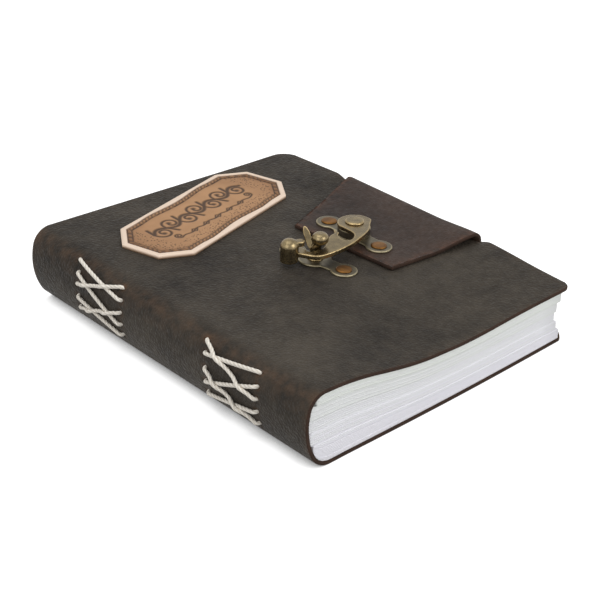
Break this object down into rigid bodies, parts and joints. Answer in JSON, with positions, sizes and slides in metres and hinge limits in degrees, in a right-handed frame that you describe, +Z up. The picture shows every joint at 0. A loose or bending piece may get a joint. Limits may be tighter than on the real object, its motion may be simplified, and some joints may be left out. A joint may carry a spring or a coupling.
{
  "type": "locking leather diary",
  "caption": "Hand-sewn leather diary with a wrap-round flap, a swing clasp that hooks a post on the front cover, a hinged cover and a title label.",
  "frame": {"origin": "under the middle of the closed diary, on the surface it lies on", "axes": "+X from spine to fore-edge, +Y from tail to head, +Z up out of the front cover"},
  "size_m": [0.153, 0.178, 0.045],
  "materials": {
    "cover_leather": "pebbled oil-tanned",
    "flap_leather": "smooth oil-tanned",
    "label_leather": "tooled vegetable-tanned",
    "page_paper": "uncoated",
    "waxed_thread": "waxed twisted",
    "antique_brass": "antiqued cast",
    "rivet_brass": "burnished"
  },
  "bodies": {
    "book": {"spine_and_back_leather": "cover_leather", "signature_1": "page_paper", "signature_2": "page_paper", "signature_3": "page_paper", "signature_4": "page_paper", "signature_5": "page_paper", "sewing_thread_head": "waxed_thread", "sewing_thread_tail": "waxed_thread"},
    "front_cover": {"front_cover_leather": "cover_leather", "title_label": "label_leather", "catch_plate": "antique_brass", "catch_post": "antique_brass", "catch_rivets": "rivet_brass", "catch_burrs": "rivet_brass"},
    "strap": {"fore_edge_strap": "flap_leather"},
    "flap": {"flap_leather": "flap_leather", "flap_plate": "antique_brass", "flap_rivets": "rivet_brass", "flap_burrs": "rivet_brass", "pivot_hub": "antique_brass", "pivot_rivet": "antique_brass"},
    "swing_arm": {"swing_arm": "antique_brass"}
  },
  "joints": [
    {"name": "cover_open", "type": "hinge", "parent": "book", "child": "front_cover", "pos_m": [-0.06686, 0, 0.03347], "axis": [0, -1, 0], "range_deg": [0, 175]},
    {"name": "strap_fold", "type": "hinge", "parent": "book", "child": "strap", "pos_m": [0.07571, 0, 0.0008], "axis": [0, 1, 0], "range_deg": [0, 80]},
    {"name": "flap_lift", "type": "hinge", "parent": "strap", "child": "flap", "pos_m": [0.07571, 0, 0.02723], "axis": [0, 1, 0], "range_deg": [0, 80]},
    {"name": "arm_swing", "type": "hinge", "parent": "flap", "child": "swing_arm", "pos_m": [0.03351, -0.0025, 0.03484], "axis": [0.0566, 0, 0.9984], "range_deg": [0, 100]}
  ],
  "couplings": [
    {"joint": "strap_fold", "follows": "flap_lift", "ratio": 1}
  ]
}
